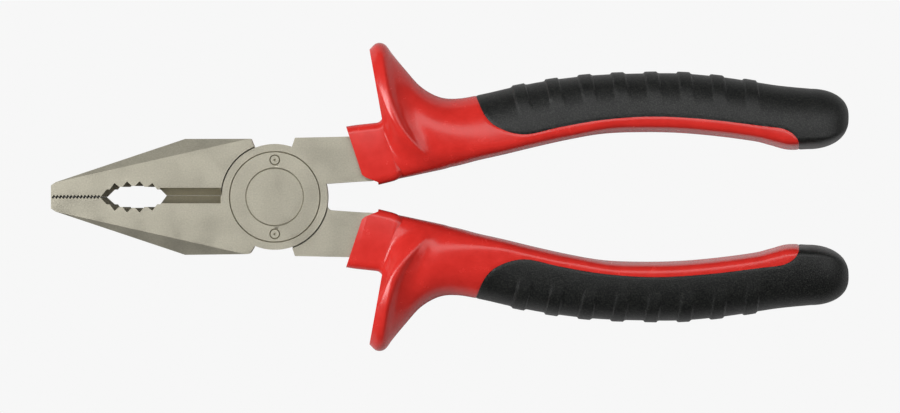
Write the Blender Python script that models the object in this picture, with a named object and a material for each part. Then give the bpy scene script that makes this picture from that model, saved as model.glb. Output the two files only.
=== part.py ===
"""Combination (lineman) pliers with insulated two-colour grips.

The pliers lie flat: the jaws point along -X, the handles along +X, and the rivet's axis is Z.
The origin is on that axis, at the flush rear face of the head. Lengths below are in millimetres
and become metres where the meshes are made.

Two forgings cross at a lap joint. Each is a jaw, a round lap of half the thickness and a tang.
The rear forging is nearly the front one turned half a turn about the X axis: only its teeth, its
cutting edge and two of its corners differ. Its grip pieces are the front lever's, turned over.
"""

import math

import bmesh
import bpy
import numpy as np
from mathutils import Matrix, Vector

MM = 0.001

# Driving dimensions
HEAD_THICKNESS = 10.5
MID = HEAD_THICKNESS / 2
LAP_RADIUS = 11.95
LAP_CLEARANCE = 0.3          # round the edge of each lap
LAP_FACE_GAP = 0.1           # each lap stops this far short of the middle plane
RIVET_RADIUS = 4.6
RIVET_HEAD_RADIUS = 6.6
RIVET_HEAD_DEPTH = 2.0
RIVET_CLEARANCE = 0.08

# Jaw
TIP_X = -50.5
TIP_HALF_WIDTH = 2.6
JAW_KNEE = (-20.3, -13.1)
JAW_REAR_RADIUS = 14.2
SHOULDER_ANGLE_JAW = -112.6
JAW_CORNER_RADIUS = 1.2      # the front forging's jaw has its rear corner rounded
FACET_START = (-49.5, -3.3)
FACET_END = (-5.5, -13.2)
FACET_FALL = 32.0            # degrees below the level of the face
BITE_GAP = 0.15              # half the gap between the closed jaws

# Fine teeth at the nose, tip to tip
TEETH_START_X = -49.9
TEETH_PITCH = 0.78
TEETH_COUNT = 14
TOOTH_TIP_Y = -0.07
TOOTH_ROOT_Y = -0.5
TEETH_LEAN = 0.25            # the rear forging's teeth lie this share of the pitch further back

# Pipe grip: the roots of its notches lie on an arch, and flat-topped teeth stand between them
PIPE_NOTCHES = 4
PIPE_PITCH = 2.85
PIPE_MIDDLE_X = -31.9
PIPE_ARCH_HEIGHT = 3.57
PIPE_ARCH_FALL = 0.2         # drop of the arch one pitch away from its middle
PIPE_TOOTH_HEIGHT = 1.1
PIPE_TOOTH_LAND = 0.7

# Wire cutter. Its edges meet off the middle, towards the rear forging's jaw.
CUTTER_SHIFT = 0.3
CUTTER_START_X = -25.9
CUTTER_EDGE_X = -24.6
CUTTER_END_X = -12.2
CUTTER_RECESS = 1.75
CUTTER_WALL_DEPTH = 1.5
CUTTING_EDGE_GAP = 0.1       # half the gap between the closed edges
CUTTING_EDGE_LAND = 0.12

# Tang
SHOULDER_ANGLE_TANG = 71.2
TANG_SHOULDER_RADIUS = 14.1
TANG_INNER_Y = 2.95
TANG_FILLET_RADIUS = 1.0     # between the rear forging's lap and the inner side of its tang

# (outer point, inner point, half thickness) of the tang, from the head into the grip
TANG_STATIONS = [
    ((16.5, 13.6), (19.5, 3.5), MID),
    ((22.0, 14.1), (24.0, 3.95), MID),
    ((28.0, 14.9), (30.0, 6.6), 4.4),
    ((34.5, 15.7), (36.5, 8.8), 3.3),
    ((43.0, 17.6), (45.0, 11.6), 3.0),
    ((54.0, 20.6), (56.0, 14.7), 3.0),
    ((67.5, 23.0), (68.5, 17.2), 3.0),
    ((82.0, 23.9), (82.0, 18.2), 3.0),
    ((97.0, 23.3), (96.3, 17.6), 2.9),
    ((110.0, 21.2), (109.2, 16.0), 2.7),
    ((116.0, 20.0), (115.3, 15.4), 2.5),
]

# Grip layers, from the steel outwards
SLEEVE_GAP = 0.2
SLEEVE_WALL = 0.75
SLEEVE_END_LENGTH = 0.9
GRIP_GAP = 0.2
OPEN_LENGTH = 8.0            # how far a cavity's cutter runs out ahead of it
SOFT_DEPTH = 1.7             # thickness of the soft cover over the red core
SOFT_GAP = 0.2
# The front of the sleeve stands proud of the tang, as a collar. Its front edge slants, and slants
# more at the inner side, where it leaves the tang's edge bare.
COLLAR_CORNER = 1.9
COLLAR_STATIONS = [
    ((15.0, 15.7), (19.0, 2.3), 6.4),
    ((18.0, 16.2), (22.0, 2.5), 6.5),
    ((21.6, 16.6), (25.2, 3.2), 6.5),
    ((23.5, 16.9), (27.0, 3.7), 6.5),
    ((24.6, 17.9), (28.0, 4.2), 6.5),
    ((26.0, 16.9), (29.2, 5.0), 6.0),
    ((28.0, 16.6), (30.4, 5.5), 5.7),
]
COLLAR_FRONT = [(15.7, 17.0), (19.7, 5.0), (20.5, 4.4), (23.3, 3.3), (23.7, 1.0)]

# Grip skin. Each station has its outer, middle and inner point in plan, its half depth at the outer and
# at the inner side, where it starts to rise from one to the other, and how square those two sides are.
# The first stations are the thumb guard, a fin that runs out towards the inner side.
GRIP_STATIONS = [
    ((21.3, 33.4), (24.2, 17.5), (26.4, 3.9), 9.5, 6.55, 0.38, 2.1, 5.0),
    ((22.9, 34.9), (25.8, 17.4), (28.4, 4.2), 10.5, 6.8, 0.20, 2.1, 5.0),
    ((24.8, 34.5), (27.9, 17.1), (36.4, 5.9), 10.8, 7.8, 0.06, 2.1, 3.6),
    ((26.6, 32.2), (30.0, 16.8), (38.2, 6.3), 8.9, 7.9, 0.0, 2.1, 3.3),
    ((29.5, 28.7), (32.5, 16.2), (39.6, 6.7), 8.2, 8.0, 0.0, 2.1, 3.1),
    ((33.0, 24.9), (35.7, 15.6), (41.2, 7.05), 8.15, 8.1, 0.0, 2.2, 3.0),
    ((37.2, 22.6), (39.6, 15.0), (43.0, 7.5), 8.1, 8.1, 0.0, 2.2, 2.9),
    ((41.6, 22.3), (43.9, 15.2), (46.0, 8.3), 8.1, 8.1, 0.0, 2.2, 2.9),
    ((47.5, 23.4), (49.8, 16.5), (52.0, 9.65), 8.1, 8.1, 0.0, 2.25, 2.9),
    ((54.5, 25.0), (56.6, 18.1), (58.6, 11.25), 8.1, 8.1, 0.0, 2.3, 2.9),
    ((63.5, 26.6), (65.0, 19.8), (66.5, 13.0), 8.1, 8.1, 0.0, 2.3, 3.1),
    ((72.8, 27.6), (73.6, 21.0), (74.3, 14.3), 8.1, 8.1, 0.0, 2.3, 4.4),
    ((82.3, 27.95), (82.4, 21.3), (82.5, 14.65), 8.1, 8.1, 0.0, 2.3, 6.4),
    ((92.0, 27.95), (91.5, 21.2), (91.0, 14.5), 8.1, 8.1, 0.0, 2.3, 6.4),
    ((101.3, 27.1), (100.6, 20.4), (99.8, 13.75), 8.1, 8.1, 0.0, 2.3, 6.4),
    ((109.6, 25.85), (109.0, 19.2), (108.4, 12.6), 8.1, 8.1, 0.0, 2.3, 6.4),
    ((113.2, 25.3), (112.6, 18.5), (112.0, 11.7), 8.1, 8.1, 0.0, 2.3, 6.0),
    ((116.8, 24.9), (116.4, 17.8), (116.0, 10.7), 8.0, 8.0, 0.0, 2.3, 5.0),
    ((121.3, 24.5), (121.0, 17.7), (120.7, 10.8), 7.8, 7.8, 0.0, 2.3, 3.5),
]
RISE_LENGTH = 0.4            # share of the width
CREST = 0.2                  # where the section is deepest, as a share of the width from the inner side
CREST_STARTS = (34.0, 54.0)  # along the inner side; in the guard the section is even
GRIP_END_X = 129.8
CAP_ANGLES = (22, 42, 58, 70, 80, 86)
CAP_FULLNESS = 0.8           # below 1 the rounded end is fuller than an ellipse
CORE_END_X = 125.0

# Edge of the soft cover in plan: it starts on the outer side behind the guard and ends on the inner side
SOFT_EDGE = [
    (45.2, 23.4), (47.5, 18.2), (50.9, 15.4), (56.5, 14.1), (64.5, 15.75), (74.0, 17.35),
    (85.0, 18.1), (97.0, 17.5), (109.7, 16.0), (115.0, 15.2), (117.8, 13.0), (118.8, 9.0),
]
FAR_OUT = 45.0               # beyond every outline in plan
BEYOND = 2.0                 # how far a cutter reaches past a face that it opens

LAP_SEGMENTS = 72
RIVET_SEGMENTS = 40
RING_POINTS = 22
CORNER_STEPS = 2
FILLET_STEPS = 4
SHARP_ANGLE = 30.0           # degrees; flatter edges are shaded smooth

# Half a turn about X through the middle plane: it puts a piece of the front lever onto the rear one
HALF_TURN = Matrix.Translation((0, 0, HEAD_THICKNESS * MM)) @ Matrix.Rotation(math.pi, 4, "X")


def clear_scene():
    for obj in list(bpy.data.objects):
        bpy.data.objects.remove(obj, do_unlink=True)


def material(name, colour, roughness, metallic):
    made = bpy.data.materials.new(name)
    made.use_nodes = True
    shader = made.node_tree.nodes["Principled BSDF"]
    shader.inputs["Base Color"].default_value = (*colour, 1.0)
    shader.inputs["Roughness"].default_value = roughness
    shader.inputs["Metallic"].default_value = metallic
    made.diffuse_color = (*colour, 1.0)
    return made


def new_object(name, mesh, helper=False):
    obj = bpy.data.objects.new(name, mesh)
    bpy.context.scene.collection.objects.link(obj)
    if helper:
        obj.hide_render = True
        obj.display_type = "WIRE"
    return obj


def mesh_from(points, faces, name="shape"):
    """A mesh from points in millimetres, with its faces turned outwards."""
    mesh = bpy.data.meshes.new(name)
    mesh.from_pydata([Vector(p) * MM for p in points], [], faces)
    shape = bmesh.new()
    shape.from_mesh(mesh)
    bmesh.ops.recalc_face_normals(shape, faces=shape.faces)
    if shape.calc_volume(signed=True) < 0:
        bmesh.ops.reverse_faces(shape, faces=shape.faces)
    shape.to_mesh(mesh)
    shape.free()
    return mesh


def prism(outline, low, high, to_point=lambda a, b, c: (a, b, c)):
    """A closed outline of (a, b) pairs extruded along c, from low to high."""
    count = len(outline)
    points = [to_point(a, b, low) for a, b in outline] + [to_point(a, b, high) for a, b in outline]
    faces = [list(range(count))[::-1], list(range(count, 2 * count))]
    for i in range(count):
        j = (i + 1) % count
        faces.append([i, j, count + j, count + i])
    return mesh_from(points, faces)


def side_prism(outline, low_x, high_x):
    """An outline of (y, z) pairs extruded along X."""
    return prism(outline, low_x, high_x, lambda y, z, x: (x, y, z))


def turned(profile, segments):
    """A profile of (radius, z) pairs from bottom to top, turned about the Z axis and capped."""
    points = []
    for radius, z in profile:
        for i in range(segments):
            angle = 2 * math.pi * i / segments
            points.append((radius * math.cos(angle), radius * math.sin(angle), z))
    faces = [list(range(segments))[::-1]]
    for row in range(len(profile) - 1):
        for i in range(segments):
            j = (i + 1) % segments
            low, high = row * segments, (row + 1) * segments
            faces.append([low + i, low + j, high + j, high + i])
    faces.append([(len(profile) - 1) * segments + i for i in range(segments)])
    return mesh_from(points, faces)


def loft(rings):
    """A closed solid through rings of as many points each, capped at both ends."""
    count = len(rings[0])
    points = [p for ring in rings for p in ring]
    faces = [list(range(count))[::-1]]
    for row in range(len(rings) - 1):
        for i in range(count):
            j = (i + 1) % count
            low, high = row * count, (row + 1) * count
            faces.append([low + i, low + j, high + j, high + i])
    faces.append([(len(rings) - 1) * count + i for i in range(count)])
    return mesh_from(points, faces)


def boolean(obj, operation, tool_mesh):
    """Cuts obj with tool_mesh or keeps what they share, and stores the result in obj's mesh."""
    tool = new_object("tool", tool_mesh, helper=True)
    modifier = obj.modifiers.new("tool", "BOOLEAN")
    modifier.operation = operation
    modifier.solver = "EXACT"
    modifier.object = tool
    graph = bpy.context.evaluated_depsgraph_get()
    result = bpy.data.meshes.new_from_object(obj.evaluated_get(graph))
    obj.modifiers.clear()
    obj.data = result
    bpy.data.objects.remove(tool, do_unlink=True)


def smooth(points, per_span):
    """A Catmull-Rom curve through the points, each a sequence of numbers."""
    given = [np.array(p, float) for p in points]
    given = [2 * given[0] - given[1]] + given + [2 * given[-1] - given[-2]]
    made = []
    for a, b, c, d in zip(given, given[1:], given[2:], given[3:]):
        for step in range(per_span):
            t = step / per_span
            made.append(
                0.5 * (2 * b + (c - a) * t + (2 * a - 5 * b + 4 * c - d) * t**2
                       + (3 * b - a - 3 * c + d) * t**3)
            )
    made.append(given[-2])
    return made


def polar(radius, degrees):
    return (radius * math.cos(math.radians(degrees)), radius * math.sin(math.radians(degrees)))


def arc(radius, start, end, segments=LAP_SEGMENTS):
    """Points on a circle round the rivet, from start to end degrees, ends included."""
    count = max(2, round(abs(end - start) / 360 * segments))
    return [polar(radius, start + (end - start) * i / count) for i in range(count + 1)]


def ease(low, high, value):
    """0 below low, 1 above high and a smooth step between."""
    t = min(max((value - low) / (high - low), 0.0), 1.0)
    return t * t * (3 - 2 * t)


def fillet(before, corner, after, radius):
    """The corner rounded, as points from the side of before to the side of after."""
    if not radius:
        return [corner]
    corner = Vector(corner)
    to_before, to_after = (Vector(before) - corner).normalized(), (Vector(after) - corner).normalized()
    half_angle = to_before.angle(to_after) / 2
    reach = radius / math.tan(half_angle)
    centre = corner + (to_before + to_after).normalized() * radius / math.sin(half_angle)
    start, end = corner + to_before * reach - centre, corner + to_after * reach - centre
    return [tuple(centre + start.slerp(end, i / FILLET_STEPS)) for i in range(FILLET_STEPS + 1)]


def nose_teeth(lean):
    """Zigzag of the flat gripping zone, moved back by a share of the pitch."""
    points = []
    for i in range(2 * TEETH_COUNT + 1):
        x = TEETH_START_X + (i / 2 + lean) * TEETH_PITCH
        points.append((x, TOOTH_ROOT_Y if i % 2 else TOOTH_TIP_Y))
    return points


def pipe_teeth():
    """Notches and teeth of the pipe grip, from the nose towards the rivet."""
    points = []
    for half_step in range(-1, 2 * PIPE_NOTCHES):
        off_middle = half_step / 2 - (PIPE_NOTCHES - 1) / 2
        x = PIPE_MIDDLE_X + off_middle * PIPE_PITCH
        arch = PIPE_ARCH_HEIGHT - PIPE_ARCH_FALL * off_middle**2
        if half_step % 2 == 0:
            points.append((x, -arch))
        else:
            for side in (-1, 1):
                points.append((x + side * PIPE_TOOTH_LAND / 2, PIPE_TOOTH_HEIGHT - arch))
    return points


def tang_sides():
    """The tang's two sides in plan, each from the head to its end."""
    outer = smooth([s[0] for s in TANG_STATIONS], 2)
    inner = smooth([s[1] for s in TANG_STATIONS], 2)
    return [tuple(p) for p in outer], [tuple(p) for p in inner]


def cutting_edge_y(front):
    """The cutting edge in plan, in the forging's own coordinates."""
    return (CUTTER_SHIFT if front else -CUTTER_SHIFT) - CUTTING_EDGE_GAP


def forging_outline(front):
    """A forging in plan: lower jaw, lap and upper tang, as one closed outline."""
    tang_outer, tang_inner = tang_sides()
    edge_y = cutting_edge_y(front)
    lap_top = math.degrees(math.atan2(edge_y, -LAP_RADIUS)) % 360
    lap_side = math.degrees(math.asin(TANG_INNER_Y / LAP_RADIUS))
    lap = arc(LAP_RADIUS, lap_side, SHOULDER_ANGLE_JAW)
    jaw_corner = polar(JAW_REAR_RADIUS, SHOULDER_ANGLE_JAW)
    outline = [(TIP_X, -BITE_GAP)]
    outline += nose_teeth(0 if front else TEETH_LEAN)
    outline += pipe_teeth()
    outline += [(CUTTER_EDGE_X, edge_y), (CUTTER_END_X, edge_y)]
    outline += arc(LAP_RADIUS, lap_top, SHOULDER_ANGLE_TANG)
    outline += [polar(TANG_SHOULDER_RADIUS, SHOULDER_ANGLE_TANG)]
    outline += tang_outer + tang_inner[::-1]
    outline += fillet(tang_inner[0], lap[0], lap[1], 0 if front else TANG_FILLET_RADIUS)
    outline += lap[1:]
    outline += fillet(lap[-1], jaw_corner, JAW_KNEE, JAW_CORNER_RADIUS if front else 0)
    outline += [JAW_KNEE, FACET_START, (TIP_X, -TIP_HALF_WIDTH)]
    return outline


def cut_facets(mesh):
    """The long facets on the jaw's outer side, above and below: planes through a line in each face."""
    start, end = Vector((*FACET_START, 0)), Vector((*FACET_END, 0))
    along = (end - start).normalized()
    outward = Vector((along.y, -along.x, 0))
    fall = math.radians(FACET_FALL)
    shape = bmesh.new()
    shape.from_mesh(mesh)
    for level, up in ((HEAD_THICKNESS, 1), (0.0, -1)):
        normal = outward * math.sin(fall) + Vector((0, 0, up)) * math.cos(fall)
        point = (start + Vector((0, 0, level))) * MM
        everything = shape.verts[:] + shape.edges[:] + shape.faces[:]
        cut = bmesh.ops.bisect_plane(
            shape, geom=everything, plane_co=point, plane_no=normal, clear_outer=True, dist=1e-7
        )
        edges = [e for e in cut["geom_cut"] if isinstance(e, bmesh.types.BMEdge)]
        bmesh.ops.holes_fill(shape, edges=edges, sides=0)
    bmesh.ops.recalc_face_normals(shape, faces=shape.faces)
    shape.to_mesh(mesh)
    shape.free()


def cutter_groove(front, up):
    """The recess beside the cutting edge, a straight wall and then a bevel down to the edge."""
    sign = 1 if up else -1
    face = MID + sign * MID
    edge_y = cutting_edge_y(front)
    wall_y = edge_y + CUTTING_EDGE_GAP - CUTTER_RECESS
    wall_foot = face - sign * CUTTER_WALL_DEPTH
    land = MID + sign * CUTTING_EDGE_LAND
    outline = [
        (BEYOND, face + sign * BEYOND), (wall_y, face + sign * BEYOND), (wall_y, wall_foot),
        (edge_y, land), (BEYOND, land),
    ]
    return side_prism(outline, CUTTER_START_X, CUTTER_END_X)


def tang_thinning(up):
    """What is cut from one face of the tang so that it is as thick as TANG_STATIONS says."""
    sign = 1 if up else -1
    far_z = MID + sign * (MID + BEYOND)
    outline = [(outer[0], MID + sign * half) for outer, _, half in TANG_STATIONS[1:]]
    start_x, end_x = outline[0][0], outline[-1][0] + BEYOND
    slope = (outline[1][1] - outline[0][1]) / (outline[1][0] - start_x)
    ahead = (start_x - BEYOND, outline[0][1] - slope * BEYOND)
    outline = [ahead] + outline[1:] + [(end_x, outline[-1][1]), (end_x, far_z), (ahead[0], far_z)]
    return prism(outline, 0.0, FAR_OUT, lambda x, z, y: (x, y, z))


def rivet_profile(grow=0.0):
    """Flush countersunk head at each face and a straight shank, as (radius, z)."""
    shank, head = RIVET_RADIUS + grow, RIVET_HEAD_RADIUS + grow
    top = HEAD_THICKNESS
    return [(head, 0.0), (shank, RIVET_HEAD_DEPTH), (shank, top - RIVET_HEAD_DEPTH), (head, top)]


def make_forging(name, front, steel):
    """Jaw, half-thickness lap and tang in one piece of steel."""
    mesh = prism(forging_outline(front), 0.0, HEAD_THICKNESS)
    cut_facets(mesh)
    forging = new_object(name, mesh)
    pocket = LAP_RADIUS + LAP_CLEARANCE
    lap_floor = MID + LAP_FACE_GAP
    boolean(forging, "DIFFERENCE", turned([(pocket, -BEYOND), (pocket, lap_floor)], LAP_SEGMENTS))
    hole = rivet_profile(RIVET_CLEARANCE)
    slope = (hole[3][0] - hole[2][0]) / (hole[3][1] - hole[2][1])
    mouth = (hole[3][0] + slope * BEYOND, hole[3][1] + BEYOND)
    boolean(forging, "DIFFERENCE", turned([(hole[2][0], 0.0), hole[2], mouth], RIVET_SEGMENTS))
    for up in (True, False):
        boolean(forging, "DIFFERENCE", cutter_groove(front, up))
        boolean(forging, "DIFFERENCE", tang_thinning(up))
    forging.data.materials.clear()
    forging.data.materials.append(steel)
    return forging


def rounded_ring(outer, inner, half_depth, corner, steps):
    """A rectangle with rounded corners that stands on the line from inner to outer, as a ring."""
    outer, inner = Vector((*outer, 0)), Vector((*inner, 0))
    across, half_width = (outer - inner).normalized(), (outer - inner).length / 2
    middle = (outer + inner) / 2 + Vector((0, 0, MID))
    ring = []
    for quadrant in range(4):
        side = 1 if quadrant in (0, 3) else -1
        up = 1 if quadrant in (0, 1) else -1
        for step in range(steps + 1):
            angle = math.pi / 2 * (quadrant + step / max(steps, 1))
            offset_a = side * (half_width - corner) + corner * math.cos(angle)
            offset_z = up * (half_depth - corner) + corner * math.sin(angle)
            ring.append(middle + across * offset_a + Vector((0, 0, offset_z)))
    return ring


def grown(station, by):
    """A tang station moved outwards by a wall thickness on every side."""
    outer, inner, half = Vector(station[0]), Vector(station[1]), station[2]
    across = (outer - inner).normalized()
    return tuple(outer + across * by), tuple(inner - across * by), half + by


def push_end(stations, length):
    """The stations with the last one repeated further along, so that an end wall covers it."""
    a, b = Vector(stations[-2][0]), Vector(stations[-1][0])
    step = (b - a).normalized() * length
    outer, inner, half = stations[-1]
    moved = (tuple(Vector(outer) + step), tuple(Vector(inner) + step), half)
    return stations + [moved]


def pull_start(stations):
    """The stations with the first one repeated ahead, so that a cavity opens through the front."""
    a, b = Vector(stations[0][0]), Vector(stations[1][0])
    step = (a - b).normalized() * OPEN_LENGTH
    outer, inner, half = stations[0]
    return [(tuple(Vector(outer) + step), tuple(Vector(inner) + step), half)] + stations


def station_loft(stations, corner=0.0):
    rows = smooth([(*o, *i, h) for o, i, h in stations], 2)
    steps = CORNER_STEPS if corner else 0
    return loft([rounded_ring(r[0:2], r[2:4], r[4], corner, steps) for r in rows])


def sleeve_stations():
    """The sleeve's outer skin: the collar at the front, then an even wall over the tang."""
    over_tang = [grown(s, SLEEVE_GAP + SLEEVE_WALL) for s in TANG_STATIONS[3:]]
    return COLLAR_STATIONS + push_end(over_tang, SLEEVE_END_LENGTH + SLEEVE_GAP)


def make_sleeve(name, red):
    """Insulating sleeve over the whole tang; its front shows as a collar ahead of the guard."""
    sleeve = new_object(name, station_loft(sleeve_stations(), COLLAR_CORNER))
    cavity = push_end([grown(s, SLEEVE_GAP) for s in TANG_STATIONS], SLEEVE_GAP)
    boolean(sleeve, "DIFFERENCE", station_loft(pull_start(cavity)))
    ahead = COLLAR_FRONT + [(0.0, COLLAR_FRONT[-1][1]), (0.0, COLLAR_FRONT[0][1])]
    boolean(sleeve, "DIFFERENCE", prism(ahead, MID - FAR_OUT, MID + FAR_OUT))
    sleeve.data.materials.clear()
    sleeve.data.materials.append(red)
    return sleeve


def skin_ring(row):
    """One ring of the grip's skin. In plan it follows a curve from inner through middle to outer."""
    outer, middle, inner = Vector(row[0:2]), Vector(row[2:4]), Vector(row[4:6])
    half_outer, half_inner, rise_start, square_outer, square_inner = row[6:11]
    control = 2 * middle - (outer + inner) / 2
    crest = 0.5 + (CREST - 0.5) * ease(*CREST_STARTS, inner.x)
    ring = []
    for i in range(RING_POINTS):
        angle = 2 * math.pi * i / RING_POINTS
        c, s = math.cos(angle), math.sin(angle)
        reach, square = (1 - crest, square_outer) if c > 0 else (crest, square_inner)
        u = crest + reach * math.copysign(abs(c) ** (2 / square), c)
        rise = ease(rise_start, rise_start + RISE_LENGTH, u)
        half = half_inner + (half_outer - half_inner) * rise
        plan = inner * (1 - u) ** 2 + control * 2 * u * (1 - u) + outer * u**2
        ring.append((plan.x, plan.y, MID + math.copysign(abs(s) ** (2 / square), s) * half))
    return ring


def skin_rows(inset=0.0, end_x=GRIP_END_X):
    """Rows of skin_ring values along the grip, with a rounded end cap. An inset makes the core."""
    made = []
    for row in smooth([(*o, *m, *i, *rest) for o, m, i, *rest in GRIP_STATIONS], 2):
        outer, inner = Vector(row[0:2]), Vector(row[4:6])
        across = (outer - inner).normalized() * inset
        halves = row[6:8] - inset
        made.append([*(outer - across), *row[2:4], *(inner + across), *halves, *row[8:]])
    last = made[-1]
    outer, inner = Vector(last[0:2]), Vector(last[4:6])
    middle, half = (outer + inner) / 2, (outer - inner) / 2
    length = end_x - middle.x
    for degrees in CAP_ANGLES:
        angle = math.radians(degrees)
        centre = middle + Vector((1, 0)) * length * math.sin(angle)
        shrink = math.cos(angle) ** CAP_FULLNESS
        halves = [depth * shrink for depth in last[6:8]]
        made.append([*(centre + half * shrink), *centre, *(centre - half * shrink), *halves, *last[8:]])
    return made


def grip_solid(inset=0.0, end_x=GRIP_END_X):
    return loft([skin_ring(row) for row in skin_rows(inset, end_x)])


def soft_region(grow=0.0):
    """The part of the plan that the soft cover takes, as a prism through the whole depth."""
    edge = [Vector(p) for p in smooth(SOFT_EDGE, 2)]
    moved = []
    for i, point in enumerate(edge):
        along = (edge[min(i + 1, len(edge) - 1)] - edge[max(i - 1, 0)]).normalized()
        moved.append(tuple(point + Vector((along.y, -along.x)) * grow))
    far_x = GRIP_END_X + BEYOND
    outline = moved + [(far_x, moved[-1][1]), (far_x, FAR_OUT), (moved[0][0], FAR_OUT)]
    return prism(outline, MID - FAR_OUT, MID + FAR_OUT)


def make_soft_grip(name, rubber):
    """Soft outer cover: it wraps the grip's outer side and closes its end."""
    soft = new_object(name, grip_solid())
    boolean(soft, "INTERSECT", soft_region())
    boolean(soft, "DIFFERENCE", grip_solid(SOFT_DEPTH - SOFT_GAP, CORE_END_X + SOFT_GAP))
    soft.data.materials.clear()
    soft.data.materials.append(rubber)
    return soft


def make_grip_body(name, red):
    """Hard grip body with the thumb guard, recessed where the soft cover lies."""
    recess = new_object("recess", soft_region(SOFT_GAP), helper=True)
    boolean(recess, "DIFFERENCE", grip_solid(SOFT_DEPTH, CORE_END_X))
    body = new_object(name, grip_solid())
    boolean(body, "DIFFERENCE", recess.data)
    bpy.data.objects.remove(recess, do_unlink=True)
    cavity = [grown(s, GRIP_GAP) for s in push_end(sleeve_stations(), GRIP_GAP)]
    boolean(body, "DIFFERENCE", station_loft(pull_start(cavity), COLLAR_CORNER + GRIP_GAP))
    body.data.materials.clear()
    body.data.materials.append(red)
    return body


def turned_over(obj, name):
    """The same piece on the rear forging."""
    other = new_object(name, obj.data)
    other.matrix_world = HALF_TURN
    return other


def main():
    clear_scene()
    steel = material("satin_steel", (0.50, 0.48, 0.41), 0.42, 0.9)
    red = material("red_plastic", (0.62, 0.03, 0.025), 0.35, 0.0)
    rubber = material("black_rubber", (0.025, 0.027, 0.026), 0.6, 0.0)

    make_forging("front_half", True, steel)
    make_forging("rear_half", False, steel).matrix_world = HALF_TURN
    rivet = new_object("pivot_rivet", turned(rivet_profile(), RIVET_SEGMENTS))
    rivet.data.materials.append(steel)

    turned_over(make_sleeve("upper_inner_sleeve", red), "lower_inner_sleeve")
    turned_over(make_grip_body("upper_grip_body", red), "lower_grip_body")
    turned_over(make_soft_grip("upper_soft_grip", rubber), "lower_soft_grip")

    for obj in bpy.data.objects:
        obj.data.shade_smooth()
        obj.data.set_sharp_from_angle(angle=math.radians(SHARP_ANGLE))


main()
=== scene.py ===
"""The looks of the combination pliers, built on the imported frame.

The pliers lie flat: the jaws point along -X, the handles along +X, and the rivet's axis is Z. The
lower grip is the upper one turned half a turn about the X axis, through the middle of the head.
Tables and sizes below are in millimetres, and become metres where the meshes are made.
"""

import math

import bmesh
import bpy
import numpy as np
from mathutils import Matrix, Vector


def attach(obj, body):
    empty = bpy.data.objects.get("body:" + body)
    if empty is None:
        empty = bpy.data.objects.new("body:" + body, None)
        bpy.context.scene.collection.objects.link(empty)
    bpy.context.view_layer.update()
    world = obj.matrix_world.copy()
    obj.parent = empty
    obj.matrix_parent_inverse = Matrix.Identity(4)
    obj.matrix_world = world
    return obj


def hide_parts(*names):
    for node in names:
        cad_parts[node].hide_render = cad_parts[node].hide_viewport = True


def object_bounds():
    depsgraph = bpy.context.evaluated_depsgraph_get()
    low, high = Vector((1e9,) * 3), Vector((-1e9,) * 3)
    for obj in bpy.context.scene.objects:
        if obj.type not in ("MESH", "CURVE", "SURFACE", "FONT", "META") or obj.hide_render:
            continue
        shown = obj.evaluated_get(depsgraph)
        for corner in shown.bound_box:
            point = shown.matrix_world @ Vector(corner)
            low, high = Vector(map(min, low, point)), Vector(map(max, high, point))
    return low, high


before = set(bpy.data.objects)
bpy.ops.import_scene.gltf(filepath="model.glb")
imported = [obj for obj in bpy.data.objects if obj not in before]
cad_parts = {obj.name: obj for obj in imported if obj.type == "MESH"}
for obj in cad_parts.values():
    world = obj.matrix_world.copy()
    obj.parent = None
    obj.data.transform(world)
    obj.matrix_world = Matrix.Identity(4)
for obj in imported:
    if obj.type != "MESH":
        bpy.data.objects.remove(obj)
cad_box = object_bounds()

MM = 0.001
HEAD_THICKNESS = 10.5
MID = HEAD_THICKNESS / 2

# Rivet and engraving of the joint's faces
RIVET_SHANK = 4.6
RIVET_HEAD = 6.45
RIVET_HEAD_DEPTH = 2.0
RIVET_CHAMFER = 0.12
RING_GROOVE = 10.2
GROOVE_WIDTH = 0.3
ENGRAVING_DEPTH = 0.4
ENGRAVING_LIP = 0.01         # how far the cutters reach out of the face
MARK_RADIUS = 1.08           # small circles with a dot, above and below the rivet
MARK_PLACE = 8.35
DOT_RADIUS = 0.3

# Bite, where the closed jaws touch. The teeth slant through the thickness, so no light shows between.
EDGE_BREAK = 0.12            # rounding of the forgings' edges
RING_SEGMENTS = 96           # round the rivet and the large ring
MARK_SEGMENTS = 32
STEEL_SHARP = 12             # degrees; flatter edges of the forgings are shaded smooth
STEEL_FLAT_AREA = 8.0        # square millimetres; larger faces of the forgings are shaded flat
NOSE_TEETH_X = (-50.2, -38.5)
NOSE_BITE_Y = 0.6            # the nose teeth lie within this distance of the middle
NOSE_SLANT = -0.1            # shift along the jaws for each unit of height
PIPE_GRIP_X = (-38.4, -26.7)
PIPE_GRIP_Y = 4.0            # its notches lie within this distance of the middle
PIPE_SLANT = -0.13
PIPE_SLANT_ENDS = 1.8        # over which the slant fades towards the cutter
TOUCH_GAP = 0.01
CUTTER_X = (-25.0, -12.0)
CUTTER_MEET_Y = 0.3
CUTTER_REACH_Y = 0.15        # the cutting edges lie within this distance of where they meet
CUTTER_LAND = 0.15           # and within this height of the middle

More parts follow.
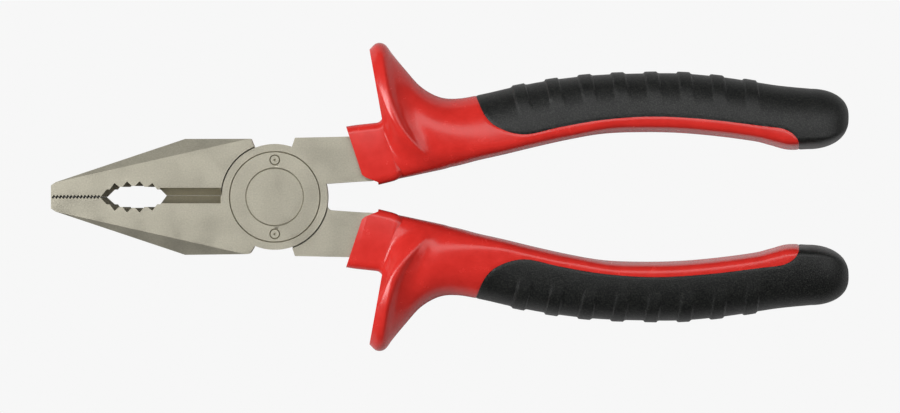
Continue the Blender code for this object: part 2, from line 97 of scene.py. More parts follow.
# Tang, as (outer point, inner point, half thickness), and the sleeve over it
TANG_STATIONS = [
    ((16.5, 13.6), (19.5, 3.5), MID),
    ((22.0, 14.1), (24.0, 3.95), MID),
    ((28.0, 14.9), (30.0, 6.6), 4.4),
    ((34.5, 15.7), (36.5, 8.8), 3.3),
    ((43.0, 17.6), (45.0, 11.6), 3.0),
    ((54.0, 20.6), (56.0, 14.7), 3.0),
    ((67.5, 23.0), (68.5, 17.2), 3.0),
    ((82.0, 23.9), (82.0, 18.2), 3.0),
    ((97.0, 23.3), (96.3, 17.6), 2.9),
    ((110.0, 21.2), (109.2, 16.0), 2.7),
    ((116.0, 20.0), (115.3, 15.4), 2.5),
]
TANG_GAP = 0.2               # between the tang and the sleeve
SLEEVE_WALL = 0.95           # from the tang to the sleeve's outer skin
COLLAR_CORNER = 1.9
COLLAR_LIP = 0.35            # rounding of the collar's front edge
SLEEVE_STEP = 0.6            # between the rows of the sleeve's skin
CAVITY_STEP = 1.5            # between the rows of the room for the tang
SLEEVE_END = 1.1             # how far the sleeve runs on past the tang
SLEEVE_ROOM_END = 1.4        # the same for its room in the grip body
COLLAR_STATIONS = [
    ((15.0, 15.7), (19.0, 2.3), 6.4),
    ((18.0, 16.2), (22.0, 2.5), 6.5),
    ((21.6, 16.6), (25.2, 3.2), 6.5),
    ((23.5, 16.9), (27.0, 3.7), 6.5),
    ((24.6, 17.9), (28.0, 4.2), 6.5),
    ((26.0, 16.9), (29.2, 5.0), 6.0),
    ((28.0, 16.6), (30.4, 5.5), 5.7),
]
COLLAR_FRONT = [(15.7, 17.0), (19.7, 5.0), (20.5, 4.4), (23.3, 3.3), (23.7, 1.0)]

# Grip skin. Each station has its outer, middle and inner point in plan, its half depth at the outer and
# at the inner side, where it starts to rise from one to the other, and how square those two sides are.
# The first stations are the thumb guard, a fin that runs out towards the inner side.
GRIP_STATIONS = [
    ((21.3, 33.4), (24.2, 17.5), (26.4, 3.9), 9.3, 6.55, 0.38, 2.1, 5.0),
    ((22.9, 34.8), (25.8, 17.4), (28.4, 4.2), 10.15, 6.8, 0.20, 2.1, 5.0),
    ((24.8, 34.5), (27.9, 17.1), (36.4, 5.9), 10.4, 7.8, 0.06, 2.1, 3.6),
    ((26.6, 32.2), (30.0, 16.8), (38.2, 6.3), 8.95, 7.9, 0.0, 2.1, 3.3),
    ((29.5, 28.7), (32.5, 16.2), (39.6, 6.7), 8.2, 8.0, 0.0, 2.1, 3.1),
    ((33.0, 24.9), (35.7, 15.6), (41.2, 7.05), 8.15, 8.1, 0.0, 2.2, 3.0),
    ((37.2, 22.6), (39.6, 15.0), (43.0, 7.5), 8.1, 8.1, 0.0, 2.2, 2.9),
    ((41.6, 22.3), (43.9, 15.2), (46.0, 8.3), 8.1, 8.1, 0.0, 2.2, 2.9),
    ((47.5, 23.4), (49.8, 16.5), (52.0, 9.65), 8.1, 8.1, 0.0, 2.25, 2.9),
    ((54.5, 25.0), (56.6, 18.1), (58.6, 11.25), 8.1, 8.1, 0.0, 2.3, 2.9),
    ((63.5, 26.6), (65.0, 19.8), (66.5, 13.0), 8.1, 8.1, 0.0, 2.3, 3.1),
    ((72.8, 27.6), (73.6, 21.0), (74.3, 14.3), 8.1, 8.1, 0.0, 2.3, 4.4),
    ((82.3, 27.95), (82.4, 21.3), (82.5, 14.65), 8.1, 8.1, 0.0, 2.3, 6.4),
    ((92.0, 27.95), (91.5, 21.2), (91.0, 14.5), 8.1, 8.1, 0.0, 2.3, 6.4),
    ((101.3, 27.1), (100.6, 20.4), (99.8, 13.75), 8.1, 8.1, 0.0, 2.3, 6.4),
    ((109.6, 25.85), (109.0, 19.2), (108.4, 12.6), 8.1, 8.1, 0.0, 2.3, 6.4),
    ((113.2, 25.3), (112.6, 18.5), (112.0, 11.7), 8.1, 8.1, 0.0, 2.3, 6.0),
    ((116.8, 24.9), (116.4, 17.8), (116.0, 10.7), 8.0, 8.0, 0.0, 2.3, 5.0),
    ((121.3, 24.5), (121.0, 17.7), (120.7, 10.8), 7.8, 7.8, 0.0, 2.3, 3.5),
]
# Columns of a station once it is one row of numbers
OUTER, MIDDLE, INNER = slice(0, 2), slice(2, 4), slice(4, 6)
HALF_OUTER, HALF_INNER, RISE, SQUARE_OUTER, SQUARE_INNER = range(6, 11)
RISE_LENGTH = 0.4            # share of the width
GRIP_END_X = 129.75
CORE_END_X = 125.0
SKIN_STEP = 0.33      # between rows and round each ring
RING_LENGTH = 48             # rough length of a ring, to count its points
SECTION_POINTS = 1441        # of the fine section that a ring's even points are taken from
CAP_ARC = 14                 # rough length of the rounded end, to count its rows
CAP_ANGLES = (2, 88)         # degrees of its first and last row
CAP_FULLNESS = 0.8           # below 1 the rounded end is fuller than an ellipse
CREST = 0.2                  # where the section is deepest, as a share of the width from the inner side
CREST_STARTS = (34.0, 54.0)  # along the inner side; in the guard the section is even
CREASE_STARTS = (66.0, 80.0) # the inner side's wall slopes, and ends in a crease, from here on
WALL_DRAFT = 0.06            # share of the width that the wall slopes over
TOP_FALL = 0.10              # drop from the crest to the crease, as a share of the half depth

# Soft cover: its edge in plan, and the cross ribs on its outer side
SOFT_EDGE = [
    (45.2, 23.4), (47.5, 18.2), (50.9, 15.4), (56.5, 14.1), (64.5, 15.75), (74.0, 17.35),
    (85.0, 18.1), (97.0, 17.5), (109.7, 16.0), (115.0, 15.2), (117.8, 13.0), (118.8, 9.0),
]
SOFT_DEPTH = 1.7
SOFT_GAP = 0.04
SLEEVE_GAP = 0.04
SEAM_DEPTH = 0.16
SEAM_WIDTH = 0.45
SEAM_SAMPLES = 200           # places on the cover's edge that distances are measured from
EDGE_POINTS = 89             # of the prism that cuts the cover out
RIB_COUNT = 8
RIB_PITCH = 7.48
FIRST_RIB_X = 55.0
RIB_HALF_WIDTH = 1.5
RIB_EDGE = 0.22
RIB_HEIGHT = 0.4
RIB_LENGTH = (1.8, 7.4)      # full height up to the first distance from the side, gone at the second
RIB_LEANS = (0.28, 0.10)     # of the first and the last rib
FAR_OUT = 45.0               # beyond every outline
BEYOND_END = 10              # how far the cutting prism reaches past the grip's end

# Camera, in metres: straight above, and so far away that walls hardly show
CAMERA_PLACE = (0.03953, -0.00217, 1.5)
CAMERA_LENS = 264.1
FLOOR_DROP = 0.5             # from the pliers down to the floor
FLOOR_HALF = 3000.0
FLOOR_GLOW = 0.93            # what the camera sees of the floor
WORLD_LIGHT = 0.05
LIGHT_TARGET = (0.04, 0.0, 0.0)              # metres

HALF_TURN = Matrix.Translation((0, 0, HEAD_THICKNESS * MM)) @ Matrix.Rotation(math.pi, 4, "X")


# Mesh tools


def new_object(name, mesh):
    obj = bpy.data.objects.new(name, mesh)
    bpy.context.scene.collection.objects.link(obj)
    return obj


def mesh_from(points, faces, name="shape"):
    """A mesh from points in millimetres, with its faces turned outwards."""
    mesh = bpy.data.meshes.new(name)
    mesh.from_pydata((np.array(points) * MM).tolist(), [], faces)
    shape = bmesh.new()
    shape.from_mesh(mesh)
    bmesh.ops.recalc_face_normals(shape, faces=shape.faces)
    if shape.calc_volume(signed=True) < 0:
        bmesh.ops.reverse_faces(shape, faces=shape.faces)
    shape.to_mesh(mesh)
    shape.free()
    return mesh


def loft(rings):
    """A closed solid through rings of as many points each. Each end is closed by strips across it."""
    count = len(rings[0])
    points = np.concatenate(rings)
    faces = []
    for row in range(len(rings) - 1):
        for i in range(count):
            j = (i + 1) % count
            low, high = row * count, (row + 1) * count
            faces.append([low + i, low + j, high + j, high + i])
    for base in (0, (len(rings) - 1) * count):
        for i in range(count // 2):
            ends = [base + i, base + i + 1, base + count - i - 1, base + (count - i) % count]
            faces.append(list(dict.fromkeys(ends)))
    return mesh_from(points, faces)


def prism(outline, low, high):
    """A closed outline in plan, as (x, y) pairs, from one height to another."""
    count = len(outline)
    points = [(x, y, z) for z in (low, high) for x, y in outline]
    faces = [list(range(count))[::-1], list(range(count, 2 * count))]
    for i in range(count):
        j = (i + 1) % count
        faces.append([i, j, count + j, count + i])
    return mesh_from(points, faces)


def turned(profile, segments, centre=(0.0, 0.0), closed=False):
    """A profile of (radius, z) pairs turned about an upright axis: a capped solid, or a closed ring."""
    points = []
    for radius, z in profile:
        for i in range(segments):
            angle = 2 * math.pi * i / segments
            points.append((centre[0] + radius * math.cos(angle), centre[1] + radius * math.sin(angle), z))
    rows = len(profile)
    faces = []
    for row in range(rows if closed else rows - 1):
        for i in range(segments):
            j = (i + 1) % segments
            low, high = row * segments, (row + 1) % rows * segments
            faces.append([low + i, low + j, high + j, high + i])
    if not closed:
        faces.append(list(range(segments))[::-1])
        faces.append([(rows - 1) * segments + i for i in range(segments)])
    return mesh_from(points, faces)


def boolean(obj, operation, tool_mesh):
    """Cuts obj with tool_mesh, or keeps what they share, and stores the result in obj's mesh."""
    tool = new_object("tool", tool_mesh)
    modifier = obj.modifiers.new("tool", "BOOLEAN")
    modifier.operation = operation
    modifier.solver = "EXACT"
    modifier.object = tool
    graph = bpy.context.evaluated_depsgraph_get()
    result = bpy.data.meshes.new_from_object(obj.evaluated_get(graph))
    obj.modifiers.clear()
    obj.data = result
    bpy.data.objects.remove(tool, do_unlink=True)


def copy_of(node, name):
    """A new object with the node's mesh, its points welded and its flat faces whole."""
    obj = new_object(name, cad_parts[node].data.copy())
    shape = bmesh.new()
    shape.from_mesh(obj.data)
    bmesh.ops.remove_doubles(shape, verts=shape.verts, dist=1e-6)
    bmesh.ops.dissolve_limit(
        shape, angle_limit=math.radians(0.3), verts=shape.verts, edges=shape.edges
    )
    shape.to_mesh(obj.data)
    shape.free()
    return obj


def bevel(obj, width, segments=2, angle=25, keep=lambda place: False):
    """Rounds every edge sharper than angle, but not where keep(middle of the edge) is true."""
    shape = bmesh.new()
    shape.from_mesh(obj.data)
    weight = shape.edges.layers.float.new("bevel_weight_edge")
    for edge in shape.edges:
        sharp = edge.calc_face_angle(0) > math.radians(angle)
        middle = (edge.verts[0].co + edge.verts[1].co) / 2 / MM
        edge[weight] = float(sharp and not keep(middle))
    shape.to_mesh(obj.data)
    shape.free()
    modifier = obj.modifiers.new("edges", "BEVEL")
    modifier.width = width * MM
    modifier.segments = segments
    modifier.limit_method = "WEIGHT"
    modifier.use_clamp_overlap = True
    modifier.miter_outer = "MITER_ARC"
    graph = bpy.context.evaluated_depsgraph_get()
    result = bpy.data.meshes.new_from_object(obj.evaluated_get(graph))
    obj.modifiers.clear()
    obj.data = result


def finished(obj, paint, body, node, sharp=30, flat_area=1e9):
    """Gives the piece its material and shading, and puts it in the place of its node.

    Faces over flat_area, in square millimetres, are shaded flat.
    """
    obj.data.materials.clear()
    obj.data.materials.append(paint)
    obj.data.shade_smooth()
    obj.data.set_sharp_from_angle(angle=math.radians(sharp))
    for face in obj.data.polygons:
        face.use_smooth = face.area < flat_area * MM**2
    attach(obj, body)
    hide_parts(node)
    return obj


def spline(table, places):
    """Catmull-Rom curve through the table's rows, at places counted in rows from 0."""
    table = np.array(table, float)
    table = np.vstack([2 * table[0] - table[1], table, 2 * table[-1] - table[-2]])
    row = np.minimum(places.astype(int), len(table) - 4)
    t = (places - row)[:, None]
    a, b, c, d = table[row], table[row + 1], table[row + 2], table[row + 3]
    return 0.5 * (
        2 * b + (c - a) * t + (2 * a - 5 * b + 4 * c - d) * t**2 + (3 * b - a - 3 * c + d) * t**3
    )


def places_along(table, step):
    """Places for spline() about a step apart, measured where neighbouring rows are furthest apart."""
    places = []
    for i, (a, b) in enumerate(zip(table, table[1:])):
        spans = [math.dist(a[k:k + 2], b[k:k + 2]) for k in (0, 2, 4) if k + 2 <= len(a)]
        count = max(1, math.ceil(max(spans) / step))
        places += [i + k / count for k in range(count)]
    return np.array(places + [len(table) - 1.0])


def ease(low, high, value):
    """0 below low, 1 above high and a smooth step between."""
    t = np.clip((value - low) / (high - low), 0, 1)
    return t * t * (3 - 2 * t)


# Materials


class Nodes:
    """A material's node tree, with short ways to add what every material here uses."""

    def __init__(self, name):
        self.material = bpy.data.materials.new(name)
        self.material.use_nodes = True
        self.tree = self.material.node_tree
        self.shader = self.tree.nodes["Principled BSDF"]
        self.place = self.add("ShaderNodeTexCoord").outputs["Object"]

    def add(self, kind, **settings):
        node = self.tree.nodes.new(kind)
        for key, value in settings.items():
            setattr(node, key, value)
        return node

    def link(self, out, into):
        self.tree.links.new(out, into)

    def set(self, **values):
        for key, value in values.items():
            self.shader.inputs[key.replace("_", " ")].default_value = value

    def noise(self, size, detail=2.0, roughness=0.5):
        """Noise whose features are about size millimetres."""
        node = self.add("ShaderNodeTexNoise")
        node.inputs["Scale"].default_value = 1 / (size * MM)
        node.inputs["Detail"].default_value = detail
        node.inputs["Roughness"].default_value = roughness
        self.link(self.place, node.inputs["Vector"])
        return node.outputs["Fac"]

    def spread(self, value, low, high, out_low, out_high):
        """Maps low..high to out_low..out_high."""
        node = self.add("ShaderNodeMapRange")
        for socket, number in zip(("From Min", "From Max", "To Min", "To Max"),
                                  (low, high, out_low, out_high)):
            node.inputs[socket].default_value = number
        self.link(value, node.inputs["Value"])
        return node.outputs["Result"]

    def colours(self, value, stops):
        """A colour ramp of (position, colour) stops."""
        node = self.add("ShaderNodeValToRGB")
        ramp = node.color_ramp
        while len(ramp.elements) < len(stops):
            ramp.elements.new(0.5)
        for element, (position, colour) in zip(ramp.elements, stops):
            element.position = position
            element.color = (*colour, 1.0)
        self.link(value, node.inputs["Fac"])
        return node.outputs["Color"]

    def bump(self, height, depth, strength=1.0, below=None):
        """Bump of so many millimetres, over an earlier bump if there is one."""
        node = self.add("ShaderNodeBump")
        node.inputs["Strength"].default_value = strength
        node.inputs["Distance"].default_value = depth * MM
        self.link(height, node.inputs["Height"])
        if below:
            self.link(below, node.inputs["Normal"])
        return node.outputs["Normal"]


def steel_material():
    """Warm grey steel: a close mottled grain, and larger patches of slightly other sheen.

    The level faces are ground fine. Facets, bevels and walls are duller.
    """
    n = Nodes("satin_steel")
    n.set(Metallic=0.92, Specular_IOR_Level=0.5)
    normal = n.add("ShaderNodeSeparateXYZ")
    n.link(n.add("ShaderNodeTexCoord").outputs["Normal"], normal.inputs["Vector"])
    level = n.add("ShaderNodeMath", operation="ABSOLUTE")
    n.link(normal.outputs["Z"], level.inputs[0])
    grain = n.noise(0.35, 3.0, 0.6)
    patches = n.noise(6.0, 2.0)
    tones = n.colours(grain, [(0.25, (0.40, 0.378, 0.305)), (0.75, (0.52, 0.492, 0.40))])
    n.link(tones, n.shader.inputs["Base Color"])
    roughness = n.add("ShaderNodeMath", operation="ADD")
    n.link(n.spread(patches, 0.3, 0.7, 0.36, 0.46), roughness.inputs[0])
    n.link(n.spread(level.outputs[0], 0.95, 0.99, 0.18, 0.0), roughness.inputs[1])
    n.link(roughness.outputs[0], n.shader.inputs["Roughness"])
    n.link(n.bump(grain, 0.012), n.shader.inputs["Normal"])
    return n.material


def red_material():
    """Moulded red plastic: nearly even colour, satin gloss and a faint unevenness of the skin."""
    n = Nodes("red_plastic")
    n.set(Metallic=0.0, IOR=1.5)
    clouds = n.noise(3.0, 3.0, 0.6)
    tones = n.colours(clouds, [(0.3, (0.60, 0.024, 0.018)), (0.7, (0.68, 0.030, 0.023))])
    n.link(tones, n.shader.inputs["Base Color"])
    n.link(n.spread(clouds, 0.3, 0.7, 0.22, 0.28), n.shader.inputs["Roughness"])
    n.link(n.bump(clouds, 0.008), n.shader.inputs["Normal"])
    return n.material


def rubber_material():
    """Near-black soft rubber with a fine sparkling grain."""
    n = Nodes("black_rubber")
    n.set(Metallic=0.0, IOR=1.5, Specular_IOR_Level=0.42)
    grain = n.noise(0.28, 3.0, 0.65)
    tones = n.colours(grain, [(0.45, (0.0025, 0.0029, 0.0031)), (0.68, (0.026, 0.0275, 0.024))])
    n.link(tones, n.shader.inputs["Base Color"])
    n.link(n.spread(n.noise(4.0), 0.3, 0.7, 0.40, 0.46), n.shader.inputs["Roughness"])
    n.link(n.bump(grain, 0.05), n.shader.inputs["Normal"])
    return n.material


# Head


def engraving(radius, front, centre=(0.0, 0.0), segments=RING_SEGMENTS):
    """Cutter for a V-shaped ring in the front or rear face of the head, or for a point if radius is 0."""
    face = HEAD_THICKNESS if front else 0.0
    outwards = 1 if front else -1
    mouth, floor = face + outwards * ENGRAVING_LIP, face - outwards * ENGRAVING_DEPTH
    if radius:
        half = GROOVE_WIDTH / 2
        profile = [(radius - half, mouth), (radius, floor), (radius + half, mouth)]
        return turned(profile, segments, centre, closed=True)
    return turned([(DOT_RADIUS / 10, floor), (DOT_RADIUS, mouth)], segments, centre)


def in_bite(place):
    """Whether a place is at the nose teeth or the cutting edges."""
    nose = place.x < NOSE_TEETH_X[1] and abs(place.y) < NOSE_BITE_Y
    cutter = CUTTER_X[0] < place.x < CUTTER_X[1] and abs(place.y - CUTTER_MEET_Y) < CUTTER_REACH_Y
    return nose or (cutter and abs(place.z - MID) < CUTTER_LAND)


def close_bite(forging, side):
    """Brings the teeth's tips and the cutting edges to where they meet; side is -1 for the lower jaw."""
    for vertex in forging.data.vertices:
        x, y, z = vertex.co / MM
        if in_bite(vertex.co / MM):
            if x > NOSE_TEETH_X[1]:
                y = CUTTER_MEET_Y + side * TOUCH_GAP
            elif abs(y) < NOSE_BITE_Y / 2:
                y = side * TOUCH_GAP
            if NOSE_TEETH_X[0] < x < NOSE_TEETH_X[1]:
                x += NOSE_SLANT * (z - MID)
        elif PIPE_GRIP_X[0] < x < PIPE_GRIP_X[1] and abs(y) < PIPE_GRIP_Y:
            fade = 1 - ease(PIPE_GRIP_X[1] - PIPE_SLANT_ENDS, PIPE_GRIP_X[1], x)
            x += PIPE_SLANT * (z - HEAD_THICKNESS) * fade
        vertex.co = Vector((x, y, z)) * MM


def make_forging(name, node, body, steel, front):
    """A forging with its edges broken and the joint's face engraved."""
    forging = copy_of(node, name)
    close_bite(forging, -1 if front else 1)
    bevel(forging, EDGE_BREAK, keep=in_bite)
    boolean(forging, "DIFFERENCE", engraving(RING_GROOVE, front))
    for side in (-1, 1):
        centre = (0.0, side * MARK_PLACE)
        for radius in (MARK_RADIUS, 0):
            boolean(forging, "DIFFERENCE", engraving(radius, front, centre, MARK_SEGMENTS))
    return finished(forging, steel, body, node, STEEL_SHARP, STEEL_FLAT_AREA)


def make_rivet(steel):
    """Flush rivet with a thin seam round each head."""
    half = [
        (RIVET_SHANK, MID), (RIVET_SHANK, HEAD_THICKNESS - RIVET_HEAD_DEPTH),
        (RIVET_HEAD, HEAD_THICKNESS - RIVET_CHAMFER),
        (RIVET_HEAD - RIVET_CHAMFER, HEAD_THICKNESS),
    ]
    mirrored = [(radius, HEAD_THICKNESS - z) for radius, z in half[:0:-1]]
    rivet = new_object("rivet", turned(mirrored + half, RING_SEGMENTS))
    return finished(rivet, steel, "front_lever", "pivot_rivet")


# Sleeves


def rounded_rectangle(outer, inner, half_depth, corner, steps):
    """A rectangle with rounded corners that stands on the line from inner to outer, as a ring."""
    outer, inner = np.array(outer), np.array(inner)
    half_width = np.linalg.norm(outer - inner) / 2
    across = (outer - inner) / (2 * half_width)
    ring = []
    for side, up, start in ((1, 1, 0), (-1, 1, 90), (-1, -1, 180), (1, -1, 270)):
        for step in range(steps + 1):
            angle = math.radians(start + 90 * step / max(steps, 1))
            away = side * (half_width - corner) + corner * math.cos(angle)
            plan = (outer + inner) / 2 + across * away
            ring.append((*plan, MID + up * (half_depth - corner) + corner * math.sin(angle)))
    return ring


def grown(station, by):
    """A station moved outwards on every side."""
    outer, inner, half = np.array(station[0]), np.array(station[1]), station[2]
    across = (outer - inner) / np.linalg.norm(outer - inner) * by
    return tuple(outer + across), tuple(inner - across), half + by


def sleeve_skin(grow=0.0, lengthen=SLEEVE_END, steps=6):
    """The sleeve's outer skin: the collar at the front, then an even wall over the tang."""
    stations = COLLAR_STATIONS + [grown(s, SLEEVE_WALL) for s in TANG_STATIONS[3:]]
    table = [(*o, *i, h) for o, i, h in (grown(s, grow) for s in stations)]
    table.append([*(np.array(table[-1][:4]) + [lengthen, 0, lengthen, 0]), table[-1][4]])
    rows = spline(table, places_along(table, SLEEVE_STEP))
    return loft([rounded_rectangle(r[0:2], r[2:4], r[4], COLLAR_CORNER + grow, steps) for r in rows])


def tang_cavity():
    """The room for the tang, open at the front."""
    table = [(*o, *i, h) for o, i, h in (grown(s, TANG_GAP) for s in TANG_STATIONS)]
    ahead = np.array(table[0]) + (np.array(table[0]) - np.array(table[1]))
    table = [(*ahead[:4], table[0][4])] + table
    rows = spline(table, places_along(table, CAVITY_STEP))
    return loft([rounded_rectangle(r[0:2], r[2:4], r[4], 0, 0) for r in rows])


def make_sleeve(name):
    """Insulating sleeve over the tang; its front shows as a collar ahead of the guard."""
    sleeve = new_object(name, sleeve_skin())
    ahead = COLLAR_FRONT + [(0.0, COLLAR_FRONT[-1][1]), (0.0, COLLAR_FRONT[0][1])]
    boolean(sleeve, "DIFFERENCE", prism(ahead, MID - FAR_OUT, MID + FAR_OUT))
    bevel(sleeve, COLLAR_LIP, segments=3, angle=40)
    boolean(sleeve, "DIFFERENCE", tang_cavity())
    return sleeve


# Grips


def skin_section(row, count):
    """(u, z) round the grip: u is 0 at the inner side and 1 at the outer, z is measured from the middle."""
    crest = 0.5 + (CREST - 0.5) * ease(*CREST_STARTS, row[INNER][0])
    creased = ease(*CREASE_STARTS, row[INNER][0])
    angle = np.linspace(-math.pi, math.pi, SECTION_POINTS)
    c, s = np.cos(angle), np.sin(angle)
    power = 2 / np.where(c > 0, row[SQUARE_OUTER], row[SQUARE_INNER])
    u = crest + np.where(c > 0, 1 - crest, crest) * np.sign(c) * np.abs(c) ** power
    rise = ease(row[RISE], row[RISE] + RISE_LENGTH, u)
    z = np.sign(s) * np.abs(s) ** power
    z *= row[HALF_INNER] + (row[HALF_OUTER] - row[HALF_INNER]) * rise
    inner = np.clip(1 - u / crest, 0, 1)
    z *= 1 - creased * TOP_FALL * inner**2
    u = u + creased * WALL_DRAFT * inner * np.abs(z) / row[HALF_INNER]
    width = math.dist(row[OUTER], row[INNER])
    walked = np.concatenate([[0], np.cumsum(np.hypot(np.diff(u) * width, np.diff(z)))])
    even = np.linspace(0, walked[-1], count, endpoint=False)
    return np.interp(even, walked, u), np.interp(even, walked, z)


def skin_rows(inset, end_x):
    """Rows along the grip like those of GRIP_STATIONS, with a rounded end. An inset makes the core."""
    table = [(*outer, *middle, *inner, *rest) for outer, middle, inner, *rest in GRIP_STATIONS]
    rows = spline(table, places_along(table, SKIN_STEP))
    across = rows[:, OUTER] - rows[:, INNER]
    across *= inset / np.linalg.norm(across, axis=1)[:, None]
    rows[:, OUTER] -= across
    rows[:, INNER] += across
    rows[:, HALF_OUTER] -= inset
    rows[:, HALF_INNER] -= inset
    last = rows[-1]
    middle, half = (last[OUTER] + last[INNER]) / 2, (last[OUTER] - last[INNER]) / 2
    cap = []
    for degrees in np.linspace(*CAP_ANGLES, round(CAP_ARC / SKIN_STEP)):
        angle = math.radians(degrees)
        centre = middle + np.array([(end_x - middle[0]) * math.sin(angle), 0])
        shrink = math.cos(angle) ** CAP_FULLNESS
        row = last.copy()
        row[OUTER], row[MIDDLE], row[INNER] = centre + half * shrink, centre, centre - half * shrink
        row[HALF_OUTER] *= shrink
        row[HALF_INNER] *= shrink
        cap.append(row)
    return np.vstack([rows, cap])


def rib_height(x, y, outer_y):
    """Height of the cross ribs over the skin, at a place in plan."""
    along = np.clip((x - FIRST_RIB_X) / (RIB_PITCH * (RIB_COUNT - 1)), 0, 1)
    lean = RIB_LEANS[0] + (RIB_LEANS[1] - RIB_LEANS[0]) * along
    inwards = outer_y - y
    phase = (x - lean * inwards - FIRST_RIB_X) / RIB_PITCH
    off = np.abs(phase - np.clip(np.round(phase), 0, RIB_COUNT - 1)) * RIB_PITCH
    across = 1 - ease(RIB_HALF_WIDTH - RIB_EDGE, RIB_HALF_WIDTH + RIB_EDGE, off)
    return RIB_HEIGHT * across * (1 - ease(*RIB_LENGTH, inwards))


def seam_dip(x, y):
    """Depth of the rounded edges along the seam between cover and body, at a place in plan."""
    edge = spline(SOFT_EDGE, np.linspace(0, len(SOFT_EDGE) - 1.0, SEAM_SAMPLES))
    nearest = np.full(x.shape, 1e9)
    for ex, ey in edge:
        nearest = np.minimum(nearest, (x - ex) ** 2 + (y - ey) ** 2)
    return SEAM_DEPTH * np.exp(-nearest / (SEAM_WIDTH / 2) ** 2)


def grip_skin(inset=0.0, end_x=GRIP_END_X, detailed=True):
    """The grip as one closed solid, with ribs and seam if detailed."""
    rows = skin_rows(inset, end_x)
    count = 2 * round(RING_LENGTH / 2 / SKIN_STEP)
    grid = np.zeros((len(rows), count, 3))
    for k, row in enumerate(rows):
        outer, middle, inner = row[OUTER], row[MIDDLE], row[INNER]
        u, z = skin_section(row, count)
        control = 2 * middle - (outer + inner) / 2
        plan = (np.outer((1 - u) ** 2, inner) + np.outer(2 * u * (1 - u), control)
                + np.outer(u**2, outer))
        grid[k, :, :2] = plan
        grid[k, :, 2] = MID + z
    if detailed:
        along = np.gradient(grid, axis=0)
        round_ring = np.roll(grid, -1, axis=1) - np.roll(grid, 1, axis=1)
        normal = np.cross(round_ring, along)
        normal /= np.linalg.norm(normal, axis=2)[..., None] + 1e-12
        if (normal[len(rows) // 2, :, 2] * (grid[len(rows) // 2, :, 2] - MID)).sum() < 0:
            normal = -normal
        x, y = grid[..., 0], grid[..., 1]
        height = rib_height(x, y, rows[:, 1][:, None]) - seam_dip(x, y)
        grid += normal * height[..., None]
    return loft(grid)


def soft_region(grow=0.0):
    """The part of the plan that the soft cover takes, as a prism through the whole depth."""
    edge = spline(SOFT_EDGE, np.linspace(0, len(SOFT_EDGE) - 1.0, EDGE_POINTS))
    along = np.gradient(edge, axis=0)
    along /= np.linalg.norm(along, axis=1)[:, None]
    moved = edge + np.stack([along[:, 1], -along[:, 0]], axis=1) * grow
    far_x = GRIP_END_X + BEYOND_END
    outline = [tuple(p) for p in moved]
    outline += [(far_x, moved[-1][1]), (far_x, FAR_OUT), (moved[0][0], FAR_OUT)]
    return prism(outline, MID - FAR_OUT, MID + FAR_OUT)


def make_cover(name):
    """Soft outer cover: it wraps the grip's outer side and closes its end."""
    cover = new_object(name, grip_skin())
    boolean(cover, "INTERSECT", soft_region())
    boolean(cover, "DIFFERENCE", grip_skin(SOFT_DEPTH - SOFT_GAP, CORE_END_X + SOFT_GAP, False))
    return cover


def make_body(name):
    """Hard grip body with the thumb guard, recessed where the soft cover lies."""
    recess = new_object("recess", soft_region(SOFT_GAP))
    boolean(recess, "DIFFERENCE", grip_skin(SOFT_DEPTH, CORE_END_X, False))
    body = new_object(name, grip_skin())
    boolean(body, "DIFFERENCE", recess.data)
    bpy.data.objects.remove(recess, do_unlink=True)
    boolean(body, "DIFFERENCE", sleeve_skin(SLEEVE_GAP, SLEEVE_ROOM_END))
    return body


def turned_over(obj, name):
    """The same piece on the other lever: half a turn about X through the middle of the head."""
    other = new_object(name, obj.data)
    other.matrix_world = HALF_TURN
    return other


# Stage


def area_light(name, place, size, power):
    """A soft box that looks at the pliers from its place, in metres. The camera doesn't see it."""
    light = bpy.data.lights.new(name, "AREA")
    light.shape = "RECTANGLE"
    light.size, light.size_y = size
    light.energy = power
    obj = new_object(name, light)
    obj.location = place
    obj.rotation_euler = (Vector(LIGHT_TARGET) - Vector(place)).to_track_quat("-Z", "Y").to_euler()
    obj.visible_camera = False


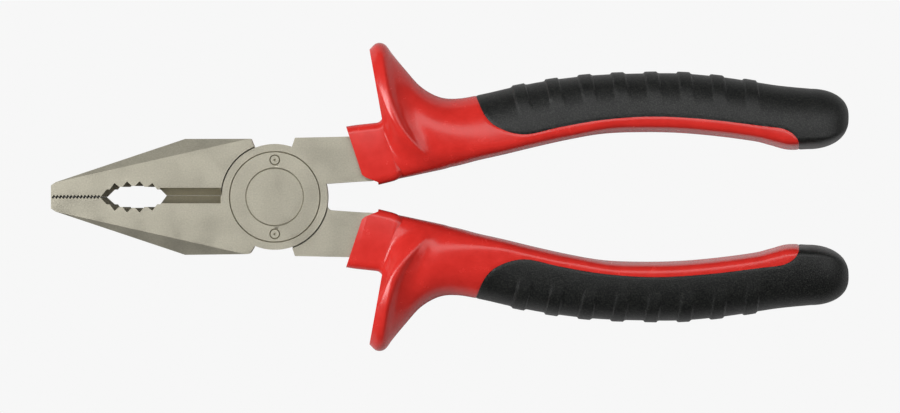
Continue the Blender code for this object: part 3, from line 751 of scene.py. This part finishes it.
def make_stage():
    """Pale floor just under the pliers, soft light from above and from both ends, and a camera."""
    scene = bpy.context.scene
    scene.view_settings.view_transform = "Standard"
    floor_z = cad_box[0].z / MM - FLOOR_DROP
    signs = ((-1, -1), (1, -1), (1, 1), (-1, 1))
    corners = [(a * FLOOR_HALF, b * FLOOR_HALF, floor_z) for a, b in signs]
    mesh = bpy.data.meshes.new("floor")
    mesh.from_pydata([Vector(c) * MM for c in corners], [], [(0, 1, 2, 3)])
    floor = new_object("floor", mesh)
    n = Nodes("pale_floor")
    n.set(Roughness=0.9)
    n.shader.inputs["Base Color"].default_value = (0.6, 0.6, 0.6, 1)
    glow = n.add("ShaderNodeEmission")
    glow.inputs["Strength"].default_value = FLOOR_GLOW
    mix = n.add("ShaderNodeMixShader")
    n.link(n.add("ShaderNodeLightPath").outputs["Is Camera Ray"], mix.inputs["Fac"])
    n.link(n.shader.outputs["BSDF"], mix.inputs[1])
    n.link(glow.outputs["Emission"], mix.inputs[2])
    n.link(mix.outputs["Shader"], n.tree.nodes["Material Output"].inputs["Surface"])
    floor.data.materials.append(n.material)

    world = bpy.data.worlds.new("studio")
    scene.world = world
    world.use_nodes = True
    world.node_tree.nodes["Background"].inputs["Color"].default_value = (1, 1, 1, 1)
    world.node_tree.nodes["Background"].inputs["Strength"].default_value = WORLD_LIGHT

    area_light("key", (0.04, 0.31, 0.85), (0.9, 0.36), 2.6)
    area_light("side", (-0.6, 0.05, 0.62), (0.5, 0.5), 7.4)
    area_light("fill", (0.55, 0.1, 0.5), (0.5, 0.5), 1.3)

    camera = bpy.data.cameras.new("camera")
    camera.sensor_width = 36
    camera.lens = CAMERA_LENS
    camera.clip_start = 0.01
    obj = new_object("camera", camera)
    obj.location = CAMERA_PLACE
    scene.camera = obj


steel, red, rubber = steel_material(), red_material(), rubber_material()

make_forging("front_forging", "front_half", "front_lever", steel, front=True)
make_forging("rear_forging", "rear_half", "rear_lever", steel, front=False)
make_rivet(steel)

for obj, node, slot, paint in (
    (make_sleeve("sleeve_upper"), "inner_sleeve", "red_plastic", red),
    (make_body("body_upper"), "grip_body", "red_plastic", red),
    (make_cover("cover_upper"), "soft_grip", "black_rubber", rubber),
):
    other = turned_over(obj, obj.name.replace("upper", "lower"))
    finished(obj, paint, "front_lever", "upper_" + node)
    finished(other, paint, "rear_lever", "lower_" + node)

make_stage()
